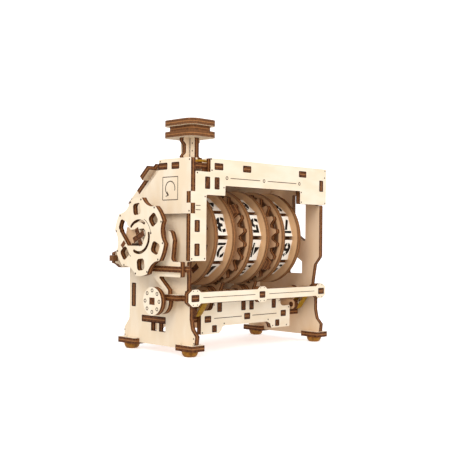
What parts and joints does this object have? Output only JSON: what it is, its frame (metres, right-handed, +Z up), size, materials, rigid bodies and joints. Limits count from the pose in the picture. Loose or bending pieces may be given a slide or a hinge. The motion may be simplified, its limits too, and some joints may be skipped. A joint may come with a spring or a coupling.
{
  "type": "mechanical counter",
  "caption": "Free-standing plywood mechanical counter: plate frame with round digit drums on an axle, hand wheel on the left, push button on top and a swinging bar across the front.",
  "frame": {"origin": "bottom centre of the bounding box at rest, on the standing surface", "axes": "+Z up, +Y from the front frame to the rear, +X along the drum axle away from the hand wheel"},
  "size_m": [0.1188, 0.0596, 0.1198],
  "materials": {
    "plywood": "raw laser-cut birch plywood, burnt brown edges",
    "digit_white": "whitened plywood face with black stencil digits",
    "dowel": "raw wood dowel",
    "amber_rubber": "translucent amber rubber band",
    "foot_rubber": "amber brown rubber"
  },
  "bodies": {
    "frame": {"front_frame": "plywood", "left_cover": "plywood", "left_panel": "plywood", "right_panel": "plywood", "top_plate": "plywood", "reading_face": "plywood", "rear_plate": "plywood", "shelf": "plywood", "lower_front_plate": "plywood", "pinion_ribs": "plywood", "shelf_braces": "plywood", "stem_guides": "plywood", "rear_ear": "plywood", "ear_key": "plywood", "foot_plates": "plywood", "rubber_feet": "foot_rubber", "pinion_shafts": "dowel", "shelf_hooks": "plywood", "shelf_pegs": "dowel", "button_band": "amber_rubber", "bar_bands": "amber_rubber"},
    "drive_train": {"hand_wheel": "plywood", "wheel_hub": "plywood", "axle_strips": "plywood", "axle_spacers": "plywood", "ratchet_wheel": "plywood", "drum1_left_disc": "plywood", "drum1_right_disc": "plywood", "drum1_digit_plates": "digit_white", "drum1_carry_disc": "plywood"},
    "tens_drum": {"drum2_gear": "plywood", "drum2_left_disc": "plywood", "drum2_right_disc": "plywood", "drum2_digit_plates": "digit_white", "drum2_carry_disc": "plywood"},
    "hundreds_drum": {"drum3_gear": "plywood", "drum3_left_disc": "plywood", "drum3_right_disc": "plywood", "drum3_digit_plates": "digit_white"},
    "transfer_pinion_a": {"transfer_pinion1": "plywood"},
    "transfer_pinion_b": {"transfer_pinion2": "plywood"},
    "button_stem": {"button_bottom_layer": "plywood", "button_middle_layer": "plywood", "button_top_layer": "plywood", "stem_side_plate": "plywood", "stem_front_plate": "plywood", "pawl_pin": "dowel"},
    "feed_pawl": {"feed_pawl": "plywood"},
    "front_bar": {"front_bar": "plywood", "side_arms": "plywood", "centre_arm": "plywood", "bar_pivots": "dowel", "pivot_collars": "plywood", "dial": "plywood", "release_lever": "plywood", "thumb_strip": "plywood", "right_boss": "plywood", "bar_hooks": "plywood", "bar_pegs": "dowel"}
  },
  "joints": [
    {"name": "wheel_turn", "type": "hinge", "parent": "frame", "child": "drive_train", "pos_m": [0.0003, 0.00125, 0.0596], "axis": [1, 0, 0], "continuous": true},
    {"name": "tens_turn", "type": "hinge", "parent": "frame", "child": "tens_drum", "pos_m": [0.0003, 0.00125, 0.0596], "axis": [1, 0, 0], "continuous": true},
    {"name": "hundreds_turn", "type": "hinge", "parent": "frame", "child": "hundreds_drum", "pos_m": [0.0263, 0.00125, 0.0596], "axis": [1, 0, 0], "continuous": true},
    {"name": "pinion_a_turn", "type": "hinge", "parent": "frame", "child": "transfer_pinion_a", "pos_m": [-0.0097, 0.00125, 0.02684], "axis": [1, 0, 0], "continuous": true},
    {"name": "pinion_b_turn", "type": "hinge", "parent": "frame", "child": "transfer_pinion_b", "pos_m": [0.0163, 0.00125, 0.02684], "axis": [1, 0, 0], "continuous": true},
    {"name": "button_press", "type": "slide", "parent": "frame", "child": "button_stem", "axis": [0, 0, -1], "range_m": [0, 0.006], "stiffness_N_per_m": 120, "springref_m": -0.003, "deforming": ["button_band"]},
    {"name": "pawl_swing", "type": "hinge", "parent": "button_stem", "child": "feed_pawl", "pos_m": [-0.0383, -0.01315, 0.077], "axis": [1, 0, 0], "range_deg": [-10, 0]},
    {"name": "bar_swing", "type": "hinge", "parent": "frame", "child": "front_bar", "pos_m": [0.0003, -0.00875, 0.0274], "axis": [-1, 0, 0], "range_deg": [0, 6], "stiffness_Nm_per_rad": 0.06, "springref_deg": -20.05, "deforming": ["bar_bands"]}
  ],
  "couplings": [
    {"joint": "tens_turn", "follows": "wheel_turn", "ratio": 0.1},
    {"joint": "hundreds_turn", "follows": "wheel_turn", "ratio": 0.01},
    {"joint": "pinion_a_turn", "follows": "wheel_turn", "ratio": -0.25},
    {"joint": "pinion_b_turn", "follows": "wheel_turn", "ratio": -0.025}
  ]
}
